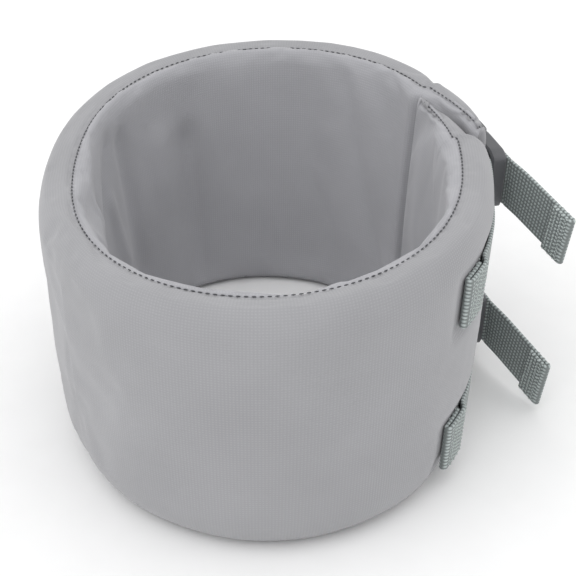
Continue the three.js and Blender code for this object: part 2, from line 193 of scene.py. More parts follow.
class Colours(bpy.types.PropertyGroup):
    knit: colour_setting("Knit", "Cover's colour", "9A9A9D")
    # painted light: the lining is the same knit as the cover, but its colour is painted lighter to make up
    # for the shade that falls inside the ring
    lining: colour_setting("Lining", "Lining's colour", "A6A6AA")
    thread: colour_setting("Thread", "Sewing thread's colour", "4C4D51")
    web: colour_setting("Webbing", "Webbing's colour", "98A09F")
    pale_thread: colour_setting("Hem thread", "Colour of the thread in the straps' hems", "B9C1BF")
    acetal: colour_setting("Buckle", "Buckles' colour", "58595C")
    foam: colour_setting("Foam", "Foam's colour", "D9D3BC")


def sizes():
    return bpy.context.scene.collar_sizes


def colours():
    return bpy.context.scene.collar_colours


# ---------------------------------------------------------------- the wall


def wall_radius(a):
    return WALL_RADIUS * (1 - OVAL * cos(2 * (a - SHORT_AXIS)))


def rim_height(a):
    return HEIGHT + RIM_RISE * cos(a - NAPE)


def wall_point(a, t, z):
    r = wall_radius(a) * (1 + FLARE * z / HEIGHT) - t
    return Vector((r * cos(a), r * sin(a), z))


def wall_frame(a, z):
    along = (wall_point(a - 1, 0, z) - wall_point(a + 1, 0, z)).normalized()
    up = (wall_point(a, 0, z + 1) - wall_point(a, 0, z)).normalized()
    return along, up, -along.cross(up).normalized()


def left_depths(a):
    tucked = smooth(a, OUTER_TIP - RUN_OUT, OUTER_TIP - 1) * (TIP + LAP_GAP)
    lap = min(max((a - OUTER_TIP) / (INNER_TIP - OUTER_TIP), 0), 1)
    return tucked + lap * (WALL - 2 * TIP - LAP_GAP), WALL


def left_top(a):
    pinch = 1.6 * math.exp(-(((a - OUTER_TIP + 0.9) / 0.7) ** 2))
    tip_top = rim_height(a) - pinch - 1.8 * smooth(a, OUTER_TIP - 2, OUTER_TIP)
    return tip_top - 1.2 * smooth(a, OUTER_TIP, INNER_TIP)


def right_depths(a):
    tucked = (1 - smooth(a, INNER_TIP + 1, INNER_TIP + RUN_OUT)) * (TIP + LAP_GAP)
    lap = min(max((INNER_TIP - a) / (INNER_TIP - OUTER_TIP), 0), 1)
    return 0, WALL - tucked - lap * (WALL - 2 * TIP - LAP_GAP)


HALVES = {"left": (left_depths, left_top), "right": (right_depths, rim_height)}


def arc(t, z, wide, high, start, end, steps):
    """Points of a rounding as (depth, height, normal's depth, normal's height)."""
    points = []
    for a in spread(start, end, steps):
        normal = Vector((sin(a) / wide, cos(a) / high)).normalized()
        points.append((t + wide * sin(a), z + high * cos(a), normal.x, normal.y))
    return points


def straight(first, last, steps):
    return [tuple(p + (q - p) * k / steps for p, q in zip(first, last)) for k in range(1, steps)]


def section(side, a, inset=0.0):
    """The wall's cover run, base seam to top seam, and its lining run, top seam to base seam."""
    depths, top_of = HALVES[side]
    t0, t1 = depths(a)
    top = top_of(a)
    share = min((t1 - t0) / WALL, 1)

    def corner(size, at_inside, at_top, start, end, steps):
        wide, high = size[0] * share, size[1] * (0.4 + 0.6 * share)
        t = t1 - wide if at_inside else t0 + wide
        z = top - high if at_top else high
        return arc(t, z, max(wide - inset, 0.05), max(high - inset, 0.05), start, end, steps)

    base = (corner(BASE_INNER, True, False, 180 - SEAM_BASE, 180, 3)
            + corner(BASE_OUTER, False, False, 180, 270, 14))
    rim = corner(TOP_OUTER, False, True, 270, 360, 13) + corner(TOP_INNER, True, True, 0, SEAM_TOP, 4)
    lip = corner(TOP_INNER, True, True, SEAM_TOP, 90, 8)
    foot = corner(BASE_INNER, True, False, 90, 180 - SEAM_BASE, 5)
    cover = base + straight(base[-1], rim[0], 20) + rim
    lining = lip + straight(lip[-1], foot[0], 24) + foot
    return cover, lining


def run_lengths(run):
    lengths = [0.0]
    for p, q in zip(run, run[1:]):
        lengths.append(lengths[-1] + math.hypot(q[0] - p[0], q[1] - p[1]))
    return lengths


# ---------------------------------------------------------------- the buckle


def buckle_frame(z):
    """x along the strap towards the adjuster, y down the wall, z out from it."""
    along, up, out = wall_frame(BUCKLE_AT, z)
    at = wall_point(BUCKLE_AT, 0, z) + out * (BUCKLE_OFF + BUCKLE_THICK / 2)
    turn = Matrix((along, -up, out)).transposed().to_4x4()
    turn.translation = at
    return turn


def hinge_point():
    """The opening hinge: on the chin side, square to the middle of the buckles' engagement."""
    turn = buckle_frame(sum(STRAPS.values()) / 2)
    along = turn.col[0].to_3d()
    engaged = turn @ Vector((ENGAGED_X, 0, 0))
    low, high = 220.0, 290.0
    for _ in range(40):
        a = (low + high) / 2
        at = wall_point(a, -0.6, rim_height(a))
        at.z = 0
        if (at - engaged).dot(along) < 0:
            low = a
        else:
            high = a
    return at


OPENING = next(j for j in frame["joints"] if j["name"] == "collar_opening")
HINGE = Vector(OPENING["pos_m"]) / MM
HINGE.z = 0
CENTRE = HINGE - hinge_point()


def to_row(point):
    return (point + CENTRE) * MM


class Station:
    """A place on a length of webbing: where it is, which way its face looks, and across it."""

    def __init__(self, at, out, across):
        self.at, self.out, self.across = at, out.normalized(), across.normalized()

    def flipped(self):
        return Station(self.at, -self.out, self.across)

    def towards(self, other, k):
        return self.out.lerp(other.out, k).normalized(), self.across.lerp(other.across, k).normalized()


def on_wall(a, z, layer=0.0):
    _, up, out = wall_frame(a, z)
    lift = WEB_OFF + WEB_THICK / 2 + layer * (WEB_THICK + FOLD_GAP)
    return Station(wall_point(a, 0, z) + out * lift, out, up)


def in_buckle(turn, x, z, angle):
    spin = turn.to_3x3()
    out = spin @ Vector((-sin(angle), 0, cos(angle)))
    return Station(turn @ Vector((x, 0, z)), out, spin @ Vector((0, -1, 0)))


def fold(lower, upper, towards):
    middle = (lower.at + upper.at) / 2
    lift = (upper.at - lower.at).normalized()
    turned = []
    for angle in (30, 60, 90, 120, 150):
        out = towards * sin(angle) - lift * cos(angle)
        turned.append(Station(middle + out * FOLD, out, lower.across))
    return turned


def touch_down(turn, x, z, height, way):
    start = in_buckle(turn, x, z, 0).at
    a = BUCKLE_AT + way * 12
    while (start - on_wall(a, height).at).dot(on_wall(a, height).out) > 0:
        a += way * 0.5
    return a


def strap_route(z):
    """From the folded hem round the wall, under the adjuster, up through it and over its end bar."""
    turn = buckle_frame(z)
    start = STRAP_END + 0.8
    landing = touch_down(turn, BUCKLE_HALF, -BAR_Z, z, -1)
    return (
        [on_wall(a, z).flipped() for a in spread(STRAP_END + HEM - 1, start, 4)]
        + fold(on_wall(start, z), on_wall(start, z, 1), wall_frame(start, z)[0])
        + [on_wall(a, z, 1) for a in spread(start, STRAP_END + HEM, 4)]
        + [on_wall(a, z, 1 - k) for a, k in ((STRAP_END + HEM + 1, 0.3), (STRAP_END + HEM + 2, 0.8))]
        + [on_wall(a, z) for a in spread(STRAP_END + HEM + 3, landing, 12)]
        + [in_buckle(turn, x, height, angle) for x, height, angle in (
            (BUCKLE_HALF - 1, -BAR_Z, 0), (SLOT_X + 1.9, -BAR_Z, 0), (SLOT_X + 0.7, -BAR_Z + 0.8, -45),
            (SLOT_X, -BAR_Z + 2.7, -90), (SLOT_X, BAR_Z - 2.7, -90), (SLOT_X + 0.7, BAR_Z - 0.8, -135),
            (SLOT_X + 1.9, BAR_Z, -180), (TAIL_PIVOT - 1, BAR_Z, -180))]
    )


def tail_route(z):
    turn = buckle_frame(z)
    spin = turn.to_3x3()
    at = Vector((TAIL_PIVOT, 0, BAR_Z))
    line = []
    reached = 0.0
    hem_start = TAIL - TAIL_HEM
    for s in (0.3, 2, 4, 6, 8, 10, 12, 14, 16, 19, 22, 26, hem_start - 1, hem_start, hem_start + 5, TAIL):
        lift = TAIL_ANGLE * smooth(s, -3, 9)
        droop = TAIL_DROOP * smooth(s, 0, 16)
        level = Vector((cos(lift), 0, sin(lift)))
        out = Vector((-sin(lift), 0, cos(lift)))
        along = level * cos(droop) + Vector((0, 1, 0)) * sin(droop)
        across = level * sin(droop) - Vector((0, 1, 0)) * cos(droop)
        at = at + along * (s - reached)
        reached = s
        line.append((Station(at, out, across), along))
    (mid_hem, _), (end, along) = line[-3], line[-1]
    under = [Station(q.at - q.out * 2 * FOLD, q.out, q.across) for q in (end, mid_hem)]
    local = [q for q, _ in line] + fold(end, under[0], along) + [q.flipped() for q in under]
    return [Station(turn @ q.at, spin @ q.out, spin @ q.across) for q in local]


def anchor_route(z):
    turn = buckle_frame(z)
    x = ANCHOR_SLOT_X
    bar = ANCHOR_THICK / 2 + 0.3 + WEB_THICK / 2
    landing = touch_down(turn, -BUCKLE_HALF, -bar, z, 1)
    return (
        [on_wall(a, z) for a in spread(landing + ANCHOR, landing, 6)]
        + [in_buckle(turn, -BUCKLE_HALF, -bar, 0), in_buckle(turn, x - 1.6, -bar, 0),
           in_buckle(turn, x - 0.6, -bar + 0.8, 45), in_buckle(turn, x, -bar + 2.4, 90),
           in_buckle(turn, x, bar - 2.4, 90), in_buckle(turn, x - 0.6, bar - 0.8, 135),
           in_buckle(turn, x - 1.6, bar, 180), in_buckle(turn, -BUCKLE_HALF, bar, 180)]
        + [on_wall(a, z, 1).flipped() for a in spread(landing + 1, landing + ANCHOR, 6)]
    )


# ---------------------------------------------------------------- mesh helpers


def finished(name, bm, material):
    for face in bm.faces:
        face.smooth = True
    mesh = bpy.data.meshes.new(name)
    bm.to_mesh(mesh)
    bm.free()
    piece = bpy.data.objects.new(name, mesh)
    bpy.context.scene.collection.objects.link(piece)
    mesh.materials.append(material)
    return piece


def mapped_grid(rows, cloth, wrap=False):
    """A grid laid over rows of points, with the cloth's own coordinates as its UV map."""
    bm = bmesh.new()
    weave = bm.loops.layers.uv.new("weave")
    nu, nv = len(rows) - 1, len(rows[0]) - 1
    bmesh.ops.create_grid(bm, x_segments=nu, y_segments=nv, size=0.5)
    where = {v: (round((v.co.x + 0.5) * nu), round((v.co.y + 0.5) * nv)) for v in bm.verts}
    for face in bm.faces:
        for loop in face.loops:
            loop[weave].uv = cloth[where[loop.vert][0]][where[loop.vert][1]]
    for v, (i, j) in where.items():
        v.co = rows[i][j]
    if wrap:
        bmesh.ops.remove_doubles(bm, verts=bm.verts[:], dist=1e-6)
    bm.normal_update()
    return bm


def close_ends(bm):
    rims = [e for e in bm.edges if e.is_boundary]
    if rims:
        bmesh.ops.holes_fill(bm, edges=rims, sides=0)


# ---------------------------------------------------------------- padded band


def seam_groove(s, depth, width):
    return -depth * math.exp(-((s / width) ** 2))


def softness(a, s, seed):
    p = Vector((wall_radius(a) * cos(a), wall_radius(a) * sin(a), s + seed))
    return 0.45 * noise.noise(p / 38) + 0.12 * noise.noise(p / 13)


# soft folds in the lining, each from one direction and height to another, with its width and how
# far it stands out
LINING_FOLDS = (
    (222, 92, 236, 70, 5, -1.4), (225, 70, 215, 36, 4, 2.2), (212, 88, 205, 22, 5, -3.0),
    (193, 78, 192, 6, 7, 2.4), (184, 74, 181, 8, 5, -2.8), (168, 97, 168, 11, 9, 1.3),
    (150, 80, 147, 20, 12, -0.8), (128, 96, 126, 30, 9, 0.6), (282, 88, 262, 84, 7, 4.0),
    (292, 78, 255, 66, 8, -1.5), (95, 96, 92, 20, 6, 0.8), (62, 92, 58, 30, 9, 0.9),
)


def folded(a, z):
    """How far the lining's folds stand out at a direction and height."""
    around = math.radians(WALL_RADIUS - WALL)
    here = Vector((a * around, z))
    push = 0.0
    for a0, z0, a1, z1, width, height in LINING_FOLDS:
        start, line = Vector((a0 * around, z0)), Vector(((a1 - a0) * around, z1 - z0))
        k = min(max((here - start).dot(line) / line.length_squared, 0), 1)
        push += height * math.exp(-((here - start - line * k).length / width) ** 2)
    return push


def pressed(a, z):
    """How firmly a strap or a loop lies on the cover there, from 0 to 1."""
    a = (a + 180) % 360 - 180
    firm = 0.0
    for height in STRAPS.values():
        for low, high in ((STRAP_END, BUCKLE_AT - 12), (BUCKLE_AT + 16, BUCKLE_AT + 48)):
            along = smooth(a, low - 5, low - 1) * (1 - smooth(a, high, high + 5))
            firm = max(firm, along * (1 - smooth(abs(z - height), WEB / 2 + 0.5, WEB / 2 + 5)))
    return firm


def band_angles(start, end, step=1.0):
    """Directions across a stretch of the band, with a narrow row at each end so that neighbouring
    pieces shade alike where they meet, and close rows where the front half dives under the tip."""
    steps = round((end - start) / step)
    edge = 0.04
    even = [start, start + edge] + spread(start, end, steps)[1:-1] + [end - edge, end]
    close = [a for a in spread(OUTER_TIP - 3, OUTER_TIP + 1, 16) if start < a < end]
    return sorted(set(even + (close if start < OUTER_TIP - 3 else [])))


def band_sheet(side, kind, angles, moves=None):
    """Rows of points and cloth coordinates for the cover or the lining over some directions."""
    groove, puff = sizes().groove, sizes().puff
    rows, cloth = [], []
    for a in angles:
        run = section(side, a)[0 if kind == "cover" else 1]
        lengths = run_lengths(run)
        total = lengths[-1]
        row, uv = [], []
        for j, ((t, z, nt, nz), s) in enumerate(zip(run, lengths)):
            from_top = total - s if kind == "cover" else s
            from_base = s if kind == "cover" else total - s
            push = (seam_groove(from_top, groove, GROOVE_WIDTH)
                    + seam_groove(from_base, BASE_GROOVE, BASE_GROOVE_WIDTH))
            middle = math.sin(math.pi * s / total)
            free = smooth(min(from_top, from_base), 0, 12)
            if kind == "cover":
                push += puff * middle * middle + softness(a, s, 0) * free
                push -= (push + 0.15) * pressed(a, z) * free
            else:
                push += (puff * middle * middle + softness(a, s, 400) + folded(a % 360, z)) * free
            point = to_row(wall_point(a, t + nt * push, z + nz * push))
            if moves:
                point = point + moves.at(a, j) * (1 - (pressed(a, z) if kind == "cover" else 0))
            row.append(point)
            down = from_top if kind == "cover" else -from_top
            uv.append((math.radians(a) * WALL_RADIUS * MM, down * MM))
        rows.append(row)
        cloth.append(uv)
    return rows, cloth


class Moves:
    """How far each point of a sheet of cloth has moved, by direction and place along its run."""

    def __init__(self, start, step, rows):
        self.start, self.step, self.rows = start, step, rows

    def at(self, a, j):
        where = min(max((a - self.start) / self.step, 0), len(self.rows) - 1)
        i = min(int(where), len(self.rows) - 2)
        t = where - i
        p0, p1, p2, p3 = (self.rows[min(max(k, 0), len(self.rows) - 1)][j] for k in range(i - 1, i + 3))
        return (p1 * 2 + (p2 - p0) * t + (p0 * 2 - p1 * 5 + p2 * 4 - p3) * t * t
                + (p1 * 3 - p0 - p2 * 3 + p3) * t ** 3) / 2


def settle(side, kind, start, end):
    """Lets cloth that is cut a little long for its padding buckle between its seams."""
    steps = round((end - start) / 2)
    rows, cloth = band_sheet(side, kind, spread(start, end, steps))
    sheet = finished("settling", mapped_grid(rows, cloth), finish_of("cover"))
    sewn = sheet.vertex_groups.new(name="sewn")
    last = len(rows[0]) - 1
    for v in sheet.data.vertices:
        i, j = v.index % (steps + 1), v.index // (steps + 1)
        if i in (0, steps) or j in (0, last):
            sewn.add([v.index], 1.0, "REPLACE")
    cloth_sim = sheet.modifiers.new("cloth", "CLOTH")
    cloth_sim.collision_settings.use_collision = False
    knit = cloth_sim.settings
    knit.quality = 6
    knit.mass = 0.05
    knit.tension_stiffness = knit.compression_stiffness = 14
    knit.shear_stiffness = 5
    knit.bending_stiffness = 2.0
    knit.shrink_min = -0.010
    knit.vertex_group_mass = "sewn"
    knit.use_pressure = True
    knit.uniform_pressure_force = 0.15
    knit.effector_weights.gravity = 0
    scene = bpy.context.scene
    for step in range(1, 21):
        scene.frame_set(step)
    shape = sheet.evaluated_get(bpy.context.evaluated_depsgraph_get()).data
    moved = [[Vector() for _ in row] for row in rows]
    for before, after in zip(sheet.data.vertices, shape.vertices):
        i, j = before.index % (steps + 1), before.index // (steps + 1)
        move = after.co - before.co
        if move.length > sizes().swell * MM:
            move *= sizes().swell * MM / move.length
        moved[i][j] = move
    bpy.data.objects.remove(sheet)
    scene.frame_set(1)
    return Moves(start, (end - start) / steps, moved)


SPANS = {
    "left": (CHIN[1] - 360, INNER_TIP),
    "chin": CHIN,
    "right": (OUTER_TIP, CHIN[0]),
}


def attach(piece, span):
    """Sets a piece of the band on its half, or across the chin between both."""
    if span == "chin":
        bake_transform(piece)
    else:
        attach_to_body(piece, f"{span}_half")


def band_pieces(kind, material):
    """The cover or the lining: each half settles as one sheet, and is then cut at the chin."""
    for side, spans in (("left", ("left",)), ("right", ("right", "chin"))):
        start, end = SPANS[spans[0]][0], SPANS[spans[-1]][1]
        moves = settle(side, kind, start, end)
        for span in spans:
            band_piece(kind, side, span, material, moves)


def band_piece(kind, side, span, material, moves):
    rows, cloth = band_sheet(side, kind, band_angles(*SPANS[span]), moves)
    piece = finished(f"{kind}_{span}", mapped_grid(rows, cloth), material)
    shell = piece.modifiers.new("thickness", "SOLIDIFY")
    shell.thickness = FABRIC * MM
    shell.offset = -1
    thick = piece.evaluated_get(bpy.context.evaluated_depsgraph_get())
    piece.data = bpy.data.meshes.new_from_object(thick)
    piece.modifiers.clear()
    nodes = {"cover": "outer_cover", "lining": "inner_lining"}[kind]
    ends = ("left", "right") if span == "chin" else (span,)
    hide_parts(*(f"{nodes}_{end}" for end in ends))
    attach(piece, span)


# ---------------------------------------------------------------- materials


def add(tree, kind, inputs=None, **settings):
    """Adds a node, sets its properties and fills its sockets with values or with other sockets."""
    node = tree.nodes.new(kind)
    for key, value in settings.items():
        setattr(node, key, value)
    for key, value in (inputs or {}).items():
        socket = node.inputs[key]
        if isinstance(value, bpy.types.NodeSocket):
            tree.links.new(value, socket)
        else:
            socket.default_value = value
    return node


def blank(name):
    material = bpy.data.materials.new(name)
    material.use_nodes = True
    material.node_tree.nodes.clear()
    return material, material.node_tree


def surface(tree, shader):
    add(tree, "ShaderNodeOutputMaterial", {"Surface": shader.outputs[0]})


def ramp(tree, factor, stops):
    node = add(tree, "ShaderNodeValToRGB", {"Fac": factor})
    while len(node.color_ramp.elements) < len(stops):
        node.color_ramp.elements.new(0.5)
    for element, (at, colour) in zip(node.color_ramp.elements, stops):
        element.position = at
        element.color = colour
    return node.outputs["Color"]


def shaded(tint, factor):
    return [min(1, c * factor) for c in tint[:3]] + [1.0]


def spots(spacing):
    """The scale of a noise or cell pattern whose spots lie this many millimetres apart."""
    return 1 / (spacing * MM)


def bands(tree, uv, period, direction, wobble):
    """Bands across or along the cloth, a period in millimetres apart."""
    return add(tree, "ShaderNodeTexWave", {"Vector": uv, "Scale": math.tau / (period * MM) / 20,
               "Distortion": wobble, "Detail": 1, "Detail Scale": 2.0},
               wave_type="BANDS", bands_direction=direction).outputs["Fac"]


def scuba_knit(name, tint):
    """Laminated scuba knit: smooth, matt and slightly fuzzy, with fine wales."""
    material, tree = blank(name)
    uv = add(tree, "ShaderNodeUVMap", uv_map="weave").outputs["UV"]
    # wales and courses of 0.5 mm, drawn at 1.0 mm so that they show
    wales = bands(tree, uv, 1.0, "X", 0.5)
    courses = bands(tree, uv, 1.0, "Y", 0.5)
    loops = add(tree, "ShaderNodeMath", {0: wales, 1: courses}, operation="MULTIPLY")
    # fuzz of 1.1 mm, and faint clouds 36 mm apart from handling
    fuzz = add(tree, "ShaderNodeTexNoise", {"Vector": uv, "Scale": spots(1.1), "Detail": 3})
    cloud = add(tree, "ShaderNodeTexNoise", {"Vector": uv, "Scale": spots(36), "Detail": 2})
    tone = ramp(tree, cloud.outputs["Fac"], [(0.3, shaded(tint, 0.95)), (0.7, shaded(tint, 1.04))])
    speck = add(tree, "ShaderNodeMix", {"Factor": 0.10, "A": tone, "B": loops.outputs[0]},
                data_type="RGBA", blend_type="SOFT_LIGHT")
    ribs = add(tree, "ShaderNodeBump", {"Strength": 0.5, "Distance": 0.12 * MM,
               "Height": loops.outputs[0]})
    nap = add(tree, "ShaderNodeBump", {"Strength": 0.4, "Distance": 0.05 * MM,
              "Height": fuzz.outputs["Fac"], "Normal": ribs.outputs["Normal"]})
    shader = add(tree, "ShaderNodeBsdfPrincipled", {
        "Base Color": speck.outputs["Result"], "Roughness": 0.88, "Sheen Weight": 0.25,
        "Sheen Roughness": 0.5, "Normal": nap.outputs["Normal"]})
    surface(tree, shader)
    return material


def woven_web(name, tint):
    """Polypropylene webbing: coarse plain weave of slightly shiny yarns."""
    material, tree = blank(name)
    uv = add(tree, "ShaderNodeUVMap", uv_map="weave").outputs["UV"]
    # warp yarns 1.5 mm apart across the strap, picks 1.8 mm apart along it
    warp = bands(tree, uv, 1.5, "Y", 0.6)
    picks = bands(tree, uv, 1.8, "X", 0.5)
    yarn = add(tree, "ShaderNodeMath", {0: warp, 1: picks}, operation="MULTIPLY")
    fibre = add(tree, "ShaderNodeTexNoise", {"Vector": uv, "Scale": spots(0.7), "Detail": 2})
    tone = ramp(tree, yarn.outputs[0], [(0.05, shaded(tint, 0.55)), (0.7, shaded(tint, 1.5))])
    mixed = add(tree, "ShaderNodeMix", {"Factor": 0.25, "A": tone, "B": fibre.outputs["Fac"]},
                data_type="RGBA", blend_type="OVERLAY")
    bump = add(tree, "ShaderNodeBump", {"Strength": 0.9, "Distance": 0.35 * MM,
               "Height": yarn.outputs[0]})
    shader = add(tree, "ShaderNodeBsdfPrincipled", {
        "Base Color": mixed.outputs["Result"], "Roughness": 0.62, "Sheen Weight": 0.1,
        "Normal": bump.outputs["Normal"]})
    surface(tree, shader)
    return material


def sewing_thread(name, tint):
    """Twisted polyester thread, matt."""
    material, tree = blank(name)
    place = add(tree, "ShaderNodeTexCoord").outputs["Object"]
    twist = add(tree, "ShaderNodeTexNoise", {"Vector": place, "Scale": spots(0.4)})
    tone = ramp(tree, twist.outputs["Fac"], [(0.35, shaded(tint, 0.8)), (0.65, shaded(tint, 1.2))])
    shader = add(tree, "ShaderNodeBsdfPrincipled", {"Base Color": tone, "Roughness": 0.7})
    surface(tree, shader)
    return material


def open_foam(name, tint):
    """Open-cell polyurethane foam, seen only where the cloth is drawn aside."""
    material, tree = blank(name)
    place = add(tree, "ShaderNodeTexCoord").outputs["Object"]
    cells = add(tree, "ShaderNodeTexVoronoi", {"Vector": place, "Scale": spots(1.1)})
    tone = ramp(tree, cells.outputs["Distance"], [(0.2, shaded(tint, 0.8)), (0.8, shaded(tint, 1))])
    shader = add(tree, "ShaderNodeBsdfPrincipled", {"Base Color": tone, "Roughness": 1.0})
    surface(tree, shader)
    return material


def moulded_acetal(name, tint):
    """Moulded acetal: satin, with the faint grain of a spark-eroded mould."""
    material, tree = blank(name)
    place = add(tree, "ShaderNodeTexCoord").outputs["Object"]
    grain = add(tree, "ShaderNodeTexNoise", {"Vector": place, "Scale": spots(0.45), "Detail": 2})
    rough = add(tree, "ShaderNodeMapRange", {"Value": grain.outputs["Fac"], "To Min": 0.36, "To Max": 0.52})
    tone = ramp(tree, grain.outputs["Fac"], [(0.3, shaded(tint, 0.92)), (0.7, shaded(tint, 1.06))])
    bump = add(tree, "ShaderNodeBump", {"Strength": 0.25, "Distance": 0.04 * MM,
               "Height": grain.outputs["Fac"]})
    shader = add(tree, "ShaderNodeBsdfPrincipled", {
        "Base Color": tone, "Roughness": rough.outputs["Result"], "Normal": bump.outputs["Normal"]})
    surface(tree, shader)
    return material


def paper_white(name):
    """Matt white backdrop paper."""
    material, tree = blank(name)
    place = add(tree, "ShaderNodeTexCoord").outputs["Object"]
    pulp = add(tree, "ShaderNodeTexNoise", {"Vector": place, "Scale": spots(17)})
    tone = ramp(tree, pulp.outputs["Fac"], [(0.0, linear("F6F6F6")), (1.0, linear("FAFAFA"))])
    shader = add(tree, "ShaderNodeBsdfPrincipled", {"Base Color": tone, "Roughness": 0.95})
    surface(tree, shader)
    return material


# each finish's own name, how it is made and which of the colours it takes
FINISHES = {
    "cover": ("Laminated scuba knit, cover", scuba_knit, "knit"),
    # the lining's finish takes the lining colour, which is painted lighter to make up for the shade inside
    # the ring
    "lining": ("Laminated scuba knit, lining", scuba_knit, "lining"),
    "webbing": ("Woven polypropylene webbing", woven_web, "web"),
    "thread": ("Twisted polyester thread", sewing_thread, "thread"),
    "web_thread": ("Twisted polyester thread, pale", sewing_thread, "pale_thread"),
    "foam": ("Open-cell polyurethane foam", open_foam, "foam"),
    "acetal": ("Moulded acetal", moulded_acetal, "acetal"),
}


def finish_of(kind):
    """Each finish is made once and shared."""
    name, make, tint = FINISHES[kind]
    return bpy.data.materials.get(name) or make(name, getattr(colours(), tint))


# ---------------------------------------------------------------- operators


class COLLAR_OT_cover(bpy.types.Operator):
    """Adds the padded knit cover round the outside of the band"""
    bl_idname = "collar.cover"
    bl_label = "Cover"

    def execute(self, context):
        band_pieces("cover", finish_of("cover"))
        return {"FINISHED"}


class COLLAR_OT_lining(bpy.types.Operator):
    """Adds the lining on the neck side of the band"""
    bl_idname = "collar.lining"
    bl_label = "Lining"

    def execute(self, context):
        band_pieces("lining", finish_of("lining"))
        return {"FINISHED"}


class COLLAR_OT_foam(bpy.types.Operator):
    """Adds the foam band inside the cloth"""
    bl_idname = "collar.foam"
    bl_label = "Foam"

    def execute(self, context):
        for span, (start, end) in SPANS.items():
            side = "left" if span == "left" else "right"
            low = start + (FOAM_SHORT if span == "right" else 0)
            high = end - (FOAM_SHORT if span == "left" else 0)
            rows = []
            for a in spread(low, high, round((high - low) / 3)):
                cover, lining = section(side, a, FOAM_INSET)
                loop = cover + lining[1:]
                rows.append([to_row(wall_point(a, t, z)) for t, z, _, _ in loop + loop[:1]])
            bm = mapped_grid(rows, [[(0, 0)] * len(rows[0])] * len(rows), wrap=True)
            close_ends(bm)
            piece = finished(f"foam_{span}", bm, finish_of("foam"))
            ends = ("left", "right") if span == "chin" else (span,)
            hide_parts(*(f"foam_core_{e}" for e in ends))
            attach(piece, span)
        return {"FINISHED"}


class COLLAR_OT_bindings(bpy.types.Operator):
    """Adds the bound edges that close both ends of the band"""
    bl_idname = "collar.bindings"
    bl_label = "End bindings"

    def execute(self, context):
        for side, tip, way in (("left", INNER_TIP, 1), ("right", OUTER_TIP, -1)):
            depths, top_of = HALVES[side]
            half = (depths(tip)[1] - depths(tip)[0]) / 2
            turn = math.degrees(half / WALL_RADIUS)
            rows, cloth = [], []
            for k in (-30, 0, 20, 40, 60, 80, 89):
                a = tip + way * turn * (sin(k) - 0.35)
                cover, lining = section(side, tip, half * (1 - cos(k)) * 0.96 - 0.15)
                loop = cover + lining[1:]
                rows.append([to_row(wall_point(a, t, z)) for t, z, _, _ in loop + loop[:1]])
                lengths = run_lengths(loop + loop[:1])
                cloth.append([(a * MM * 1.5, s * MM) for s in lengths])
            bm = mapped_grid(rows, cloth, wrap=True)
            close_ends(bm)
            bmesh.ops.recalc_face_normals(bm, faces=bm.faces[:])
            # the left end's binding takes the lining's finish, whose colour is painted lighter to make up
            # for the shade inside the ring
            edge_cloth = "lining" if side == "left" else "cover"
            piece = finished(f"end_edge_{side}", bm, finish_of(edge_cloth))
            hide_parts(f"end_binding_{side}")
            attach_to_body(piece, f"{side}_half")
        return {"FINISHED"}


def dense(stations, spacing=1.0):
    """The same run of webbing with stations close enough together to bend smoothly."""
    points = [q.at for q in stations]
    fine = []
    for i in range(len(stations) - 1):
        p0, p1, p2, p3 = (points[min(max(k, 0), len(points) - 1)] for k in range(i - 1, i + 3))
        steps = max(1, round((p2 - p1).length / spacing))
        m1 = (p2 - p0) * ((p2 - p1).length / max((p2 - p1).length + (p1 - p0).length, 1e-6))
        m2 = (p3 - p1) * ((p2 - p1).length / max((p3 - p2).length + (p2 - p1).length, 1e-6))
        for k in range(steps):
            t = k / steps
            at = (p1 * (2 * t ** 3 - 3 * t ** 2 + 1) + m1 * (t ** 3 - 2 * t ** 2 + t)
                  + p2 * (-2 * t ** 3 + 3 * t ** 2) + m2 * (t ** 3 - t ** 2))
            out, across = stations[i].towards(stations[i + 1], t)
            fine.append(Station(at, out, across))
    fine.append(stations[-1])
    return fine


def web_section():
    """Outline of the webbing, across it and through it, with soft edges."""
    half, thick = WEB / 2, WEB_THICK / 2
    face = spread(-half + 0.6, half - 0.6, 18)
    edge = [(half - 0.6 + 0.6 * cos(b), thick * sin(b)) for b in (60, 30, 0, -30, -60)]
    return ([(x, thick) for x in face] + edge + [(x, -thick) for x in reversed(face)]
            + [(-x, -y) for x, y in edge])


def web_piece(name, route, node, body):
    outline = web_section()
    outline.append(outline[0])
    rows, cloth = [], []
    length = 0.0
    last = None
    for q in dense(route):
        length += (q.at - last).length if last else 0
        last = q.at
        rows.append([to_row(q.at + q.across * x + q.out * y) for x, y in outline])
        cloth.append([(length * MM, x * MM) for x, _ in outline])
    bm = mapped_grid(rows, cloth, wrap=True)
    close_ends(bm)
    bmesh.ops.recalc_face_normals(bm, faces=bm.faces[:])
    piece = finished(name, bm, finish_of("webbing"))
    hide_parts(node)
    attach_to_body(piece, body)


class COLLAR_OT_straps(bpy.types.Operator):
    """Adds the straps, their free tails and the loops that hold the sockets"""
    bl_idname = "collar.straps"
    bl_label = "Straps"

    def execute(self, context):
        for place, z in STRAPS.items():
            web_piece(f"{place}_web", strap_route(z), f"{place}_strap", "left_half")
            web_piece(f"{place}_web_tail", tail_route(z), f"{place}_strap_tail", f"{place}_tail")
            web_piece(f"{place}_web_loop", anchor_route(z), f"{place}_anchor_loop", "right_half")
        return {"FINISHED"}


def stitch_row(bm, places, length, radius):
    """Small rounded stitches, each at (point, along, out) in the row frame."""
    for point, along, out in places:
        turn = Matrix((along, out.cross(along), out)).transposed().to_4x4()
        turn.translation = point
        size = Matrix.Diagonal((length * MM / 2, radius * MM, radius * MM, 1))
        bmesh.ops.create_icosphere(bm, subdivisions=1, radius=1, matrix=turn @ size)


